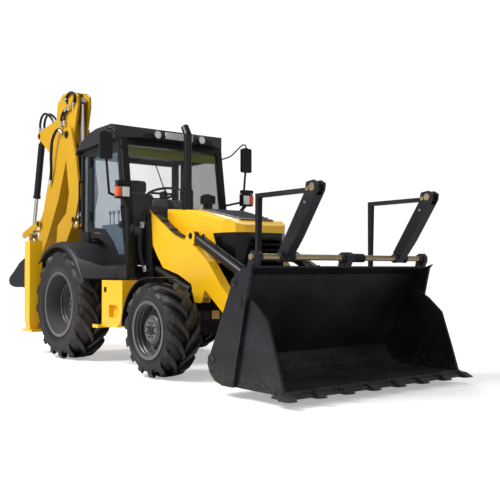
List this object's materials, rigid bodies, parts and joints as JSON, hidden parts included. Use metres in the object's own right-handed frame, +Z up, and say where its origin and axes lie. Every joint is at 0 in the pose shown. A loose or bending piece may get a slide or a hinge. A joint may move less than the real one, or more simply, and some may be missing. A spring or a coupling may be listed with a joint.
{
  "type": "backhoe loader",
  "caption": "Wheeled loader with a clam front bucket carrying flip-over forks, a glazed cab, and a side-shift digging arm at the rear.",
  "frame": {"origin": "on the ground, under the middle of the bounding box", "axes": "+X forward to the loader bucket, +Y to the machine's left, +Z up"},
  "size_m": [6.726, 2.342, 3.4795],
  "materials": {
    "yellow_paint": "gloss yellow paint",
    "hoe_paint": "yellow paint, worn",
    "dark_plastic": "dark grey moulded plastic",
    "black_metal": "black paint",
    "grey_paint": "silver grey paint",
    "bucket_steel": "dark grey paint, worn",
    "bare_steel": "bare steel",
    "rod_chrome": "chromed rod",
    "tyre_rubber": "black rubber",
    "glass": "tinted glass",
    "seat_cloth": "black cloth",
    "engine_iron": "painted iron",
    "lamp_parts": "lamp housings"
  },
  "bodies": {
    "base": {"chassis_frame": "black_metal", "engine_block": "engine_iron", "hood": "yellow_paint", "front_grille": "black_metal", "stacks": "black_metal", "cab_frame": "black_metal", "cab_roof": "dark_plastic", "cab_glass": "glass", "seat": "seat_cloth", "controls": "dark_plastic", "rear_fenders": "dark_plastic", "step_tanks": "yellow_paint", "lamps": "lamp_parts", "mirrors": "black_metal", "front_axle": "black_metal", "rear_axle": "black_metal", "rear_frame": "yellow_paint"},
    "door_left": {"door_left": "black_metal", "door_glass_left": "glass"},
    "knuckle_left": {"knuckle_left": "black_metal"},
    "front_wheel_left": {"front_rim_left": "grey_paint", "front_tyre_left": "tyre_rubber"},
    "rear_wheel_left": {"rear_rim_left": "grey_paint", "rear_tyre_left": "tyre_rubber"},
    "fork_arm_left": {"fork_arm_left": "bucket_steel"},
    "fork_tine_left": {"fork_tine_left": "bucket_steel"},
    "stabilizer_left": {"stabilizer_left": "yellow_paint"},
    "door_right": {"door_right": "black_metal", "door_glass_right": "glass"},
    "knuckle_right": {"knuckle_right": "black_metal"},
    "front_wheel_right": {"front_rim_right": "grey_paint", "front_tyre_right": "tyre_rubber"},
    "rear_wheel_right": {"rear_rim_right": "grey_paint", "rear_tyre_right": "tyre_rubber"},
    "fork_arm_right": {"fork_arm_right": "bucket_steel"},
    "fork_tine_right": {"fork_tine_right": "bucket_steel"},
    "stabilizer_right": {"stabilizer_right": "yellow_paint"},
    "loader_arms": {"loader_arms": "yellow_paint"},
    "lift_barrels": {"lift_barrels": "black_metal"},
    "lift_rods": {"lift_rods": "rod_chrome"},
    "tilt_barrels": {"tilt_barrels": "black_metal"},
    "tilt_rods": {"tilt_rods": "rod_chrome"},
    "bucket_jaw": {"bucket_jaw": "bucket_steel"},
    "carriage": {"carriage": "hoe_paint"},
    "swing_post": {"swing_post": "hoe_paint"},
    "boom": {"boom": "hoe_paint"},
    "boom_barrel": {"boom_barrel": "black_metal"},
    "boom_rod": {"boom_rod": "rod_chrome"},
    "dipper": {"dipper": "hoe_paint"},
    "dipper_barrel": {"dipper_barrel": "black_metal"},
    "dipper_rod": {"dipper_rod": "rod_chrome"},
    "hoe_barrel": {"hoe_barrel": "black_metal"},
    "hoe_rod": {"hoe_rod": "rod_chrome"},
    "guide_links": {"guide_links": "hoe_paint"},
    "push_link": {"push_link": "hoe_paint"},
    "hoe_bucket": {"hoe_bucket": "bucket_steel"},
    "bucket_back": {"bucket_back": "bucket_steel", "fork_shaft": "bare_steel"}
  },
  "joints": [
    {"name": "door_left_hinge", "type": "hinge", "parent": "base", "child": "door_left", "pos_m": [-0.876, 0.736, 1.9], "axis": [0, 0, 1], "range_deg": [0, 80]},
    {"name": "steer_left", "type": "hinge", "parent": "base", "child": "knuckle_left", "pos_m": [1.107, 0.72, 0.48473], "axis": [0, 0, 1], "range_deg": [-35, 35]},
    {"name": "front_wheel_left_spin", "type": "hinge", "parent": "knuckle_left", "child": "front_wheel_left", "pos_m": [1.107, 0.925, 0.48473], "axis": [0, 1, 0], "continuous": true},
    {"name": "rear_wheel_left_spin", "type": "hinge", "parent": "base", "child": "rear_wheel_left", "pos_m": [-1.063, 0.86, 0.66971], "axis": [0, 1, 0], "continuous": true},
    {"name": "door_right_hinge", "type": "hinge", "parent": "base", "child": "door_right", "pos_m": [-0.876, -0.736, 1.9], "axis": [0, 0, -1], "range_deg": [0, 80]},
    {"name": "steer_right", "type": "hinge", "parent": "base", "child": "knuckle_right", "pos_m": [1.107, -0.72, 0.48473], "axis": [0, 0, 1], "range_deg": [-35, 35]},
    {"name": "front_wheel_right_spin", "type": "hinge", "parent": "knuckle_right", "child": "front_wheel_right", "pos_m": [1.107, -0.925, 0.48473], "axis": [0, 1, 0], "continuous": true},
    {"name": "rear_wheel_right_spin", "type": "hinge", "parent": "base", "child": "rear_wheel_right", "pos_m": [-1.063, -0.86, 0.66971], "axis": [0, 1, 0], "continuous": true},
    {"name": "lift", "type": "hinge", "parent": "base", "child": "loader_arms", "pos_m": [0.192, 0, 1.69], "axis": [0, -1, 0], "range_deg": [0, 76]},
    {"name": "lift_cylinder_turn", "type": "hinge", "parent": "base", "child": "lift_barrels", "pos_m": [0.227, 0, 1.13], "axis": [0, 1, 0], "range_deg": [-69.44, 0.05]},
    {"name": "lift_cylinder_stroke", "type": "slide", "parent": "lift_barrels", "child": "lift_rods", "axis": [0.9506, 0, -0.3103], "range_m": [-0.0005, 0.67469]},
    {"name": "bucket_tilt", "type": "hinge", "parent": "loader_arms", "child": "bucket_back", "pos_m": [2.167, 0, 0.38], "axis": [0, 1, 0], "range_deg": [-40, 70]},
    {"name": "tilt_cylinder_turn", "type": "hinge", "parent": "loader_arms", "child": "tilt_barrels", "pos_m": [1.067, 0, 1.452], "axis": [0, 1, 0], "range_deg": [-2.05, 3.55]},
    {"name": "tilt_cylinder_stroke", "type": "slide", "parent": "tilt_barrels", "child": "tilt_rods", "axis": [0.9068, 0, -0.4216], "range_m": [-0.30768, 0.53806]},
    {"name": "jaw", "type": "hinge", "parent": "bucket_back", "child": "bucket_jaw", "pos_m": [2.693, 0, 0.824], "axis": [0, -1, 0], "range_deg": [0, 70]},
    {"name": "fork_arm_left_flip", "type": "hinge", "parent": "bucket_back", "child": "fork_arm_left", "pos_m": [2.822, 0.74, 1.205], "axis": [0, -1, 0], "range_deg": [-95, 0]},
    {"name": "fork_tine_left_fold", "type": "hinge", "parent": "fork_arm_left", "child": "fork_tine_left", "pos_m": [3.199, 0.74, 1.78], "axis": [0, -1, 0], "range_deg": [-155.09, 0.05]},
    {"name": "fork_arm_right_flip", "type": "hinge", "parent": "bucket_back", "child": "fork_arm_right", "pos_m": [2.822, -0.74, 1.205], "axis": [0, -1, 0], "range_deg": [-95, 0]},
    {"name": "fork_tine_right_fold", "type": "hinge", "parent": "fork_arm_right", "child": "fork_tine_right", "pos_m": [3.199, -0.74, 1.78], "axis": [0, -1, 0], "range_deg": [-155.09, 0.05]},
    {"name": "side_shift", "type": "slide", "parent": "base", "child": "carriage", "axis": [0, 1, 0], "range_m": [0, 1]},
    {"name": "swing", "type": "hinge", "parent": "carriage", "child": "swing_post", "pos_m": [-2.243, -0.5, 0.6], "axis": [0, 0, 1], "range_deg": [-85, 85]},
    {"name": "boom_turn", "type": "hinge", "parent": "swing_post", "child": "boom", "pos_m": [-2.393, -0.5, 0.8], "axis": [0, -1, 0], "range_deg": [0, 100]},
    {"name": "boom_cylinder_turn", "type": "hinge", "parent": "swing_post", "child": "boom_barrel", "pos_m": [-2.583, -0.5, 0.74], "axis": [0, 1, 0], "range_deg": [-99.36, 0.05]},
    {"name": "boom_cylinder_stroke", "type": "slide", "parent": "boom_barrel", "child": "boom_rod", "axis": [0.5631, 0, 0.8264], "range_m": [-0.30556, 0.0005]},
    {"name": "dipper_turn", "type": "hinge", "parent": "boom", "child": "dipper", "pos_m": [-1.743, -0.5, 2.9], "axis": [0, 1, 0], "range_deg": [0, 95]},
    {"name": "dipper_cylinder_turn", "type": "hinge", "parent": "boom", "child": "dipper_barrel", "pos_m": [-1.533, -0.5, 1.75], "axis": [0, 1, 0], "range_deg": [-0.05, 13.39]},
    {"name": "dipper_cylinder_stroke", "type": "slide", "parent": "dipper_barrel", "child": "dipper_rod", "axis": [-0.019, 0, 0.9998], "range_m": [-0.62582, 0.0005]},
    {"name": "hoe_bucket_turn", "type": "hinge", "parent": "dipper", "child": "hoe_bucket", "pos_m": [-2.663, -0.5, 1.39], "axis": [0, 1, 0], "range_deg": [0, 70]},
    {"name": "guide_link_turn", "type": "hinge", "parent": "dipper", "child": "guide_links", "pos_m": [-2.623, -0.5, 1.745], "axis": [0, 1, 0], "range_deg": [-0.05, 31.75]},
    {"name": "push_link_turn", "type": "hinge", "parent": "hoe_bucket", "child": "push_link", "pos_m": [-3.023, -0.5, 1.29], "axis": [0, 1, 0], "range_deg": [-101.96, 0.05]},
    {"name": "hoe_cylinder_turn", "type": "hinge", "parent": "dipper", "child": "hoe_barrel", "pos_m": [-2.833, -0.5, 3.03], "axis": [0, 1, 0], "range_deg": [-0.05, 3.11]},
    {"name": "hoe_cylinder_stroke", "type": "slide", "parent": "hoe_barrel", "child": "hoe_rod", "axis": [-0.2106, 0, -0.9776], "range_m": [-0.28694, 0.0005]},
    {"name": "stabilizer_left_slide", "type": "slide", "parent": "base", "child": "stabilizer_left", "axis": [0, 0, -1], "range_m": [0, 0.5]},
    {"name": "stabilizer_right_slide", "type": "slide", "parent": "base", "child": "stabilizer_right", "axis": [0, 0, -1], "range_m": [0, 0.5]}
  ],
  "couplings": [
    {"joint": "steer_right", "follows": "steer_left", "ratio": 1},
    {"joint": "lift_cylinder_turn", "follows": "lift", "ratio": -0.91304},
    {"joint": "lift_cylinder_stroke", "follows": "lift", "m_per_rad": 0.50826},
    {"joint": "tilt_cylinder_turn", "follows": "bucket_tilt", "ratio": 0.05},
    {"joint": "tilt_cylinder_stroke", "follows": "bucket_tilt", "m_per_rad": 0.44},
    {"joint": "fork_tine_left_fold", "follows": "fork_arm_left_flip", "ratio": 1.632},
    {"joint": "fork_tine_right_fold", "follows": "fork_arm_right_flip", "ratio": 1.632},
    {"joint": "boom_cylinder_turn", "follows": "boom_turn", "ratio": -0.99313},
    {"joint": "boom_cylinder_stroke", "follows": "boom_turn", "m_per_rad": -0.17479},
    {"joint": "dipper_cylinder_turn", "follows": "dipper_turn", "ratio": 0.14043},
    {"joint": "dipper_cylinder_stroke", "follows": "dipper_turn", "m_per_rad": -0.37714},
    {"joint": "guide_link_turn", "follows": "hoe_bucket_turn", "ratio": 0.45282},
    {"joint": "push_link_turn", "follows": "hoe_bucket_turn", "ratio": -1.4559},
    {"joint": "hoe_cylinder_turn", "follows": "hoe_bucket_turn", "ratio": 0.043688},
    {"joint": "hoe_cylinder_stroke", "follows": "hoe_bucket_turn", "m_per_rad": -0.23446}
  ]
}
